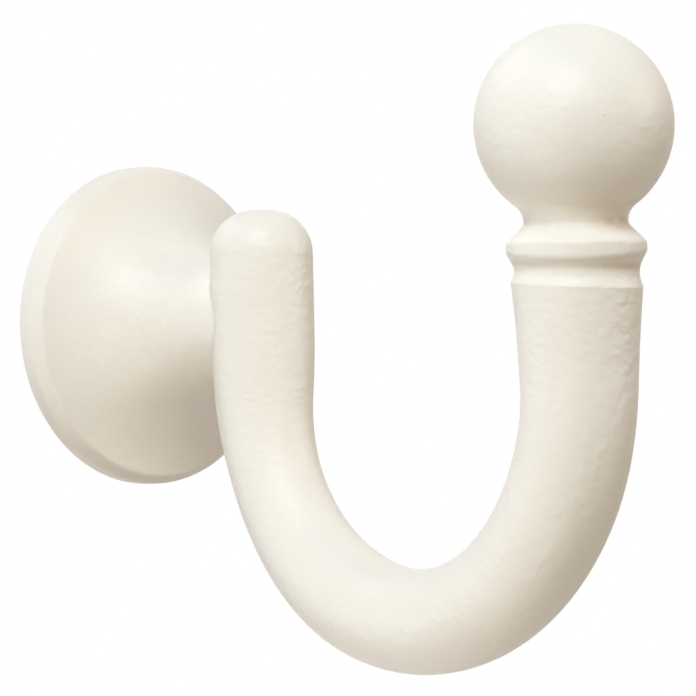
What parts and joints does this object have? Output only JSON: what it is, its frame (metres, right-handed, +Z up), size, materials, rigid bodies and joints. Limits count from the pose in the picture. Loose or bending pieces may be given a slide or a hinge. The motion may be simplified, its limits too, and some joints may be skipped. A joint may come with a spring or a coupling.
{
  "type": "coat hook",
  "caption": "Painted wooden U-shaped wall hook with a turned flared rosette, a ball finial and a double-ended screw.",
  "frame": {"origin": "centre of the rosette's back face, on the wall, where the screw leaves it", "axes": "+Y into the wall along the screw, so the hook stands out towards -Y; +Z up; +X to the right of someone facing the wall"},
  "size_m": [0.045, 0.1233, 0.0861],
  "materials": {
    "rosette_paint": "ivory satin paint over turned hardwood",
    "arm_paint": "ivory satin paint over shaped hardwood",
    "finial_paint": "ivory satin paint over turned hardwood",
    "screw_steel": "bright zinc-plated steel"
  },
  "bodies": {
    "root": {"wall_rosette": "rosette_paint", "hook_arm": "arm_paint", "ball_finial": "finial_paint", "wall_screw": "screw_steel"}
  },
  "joints": []
}
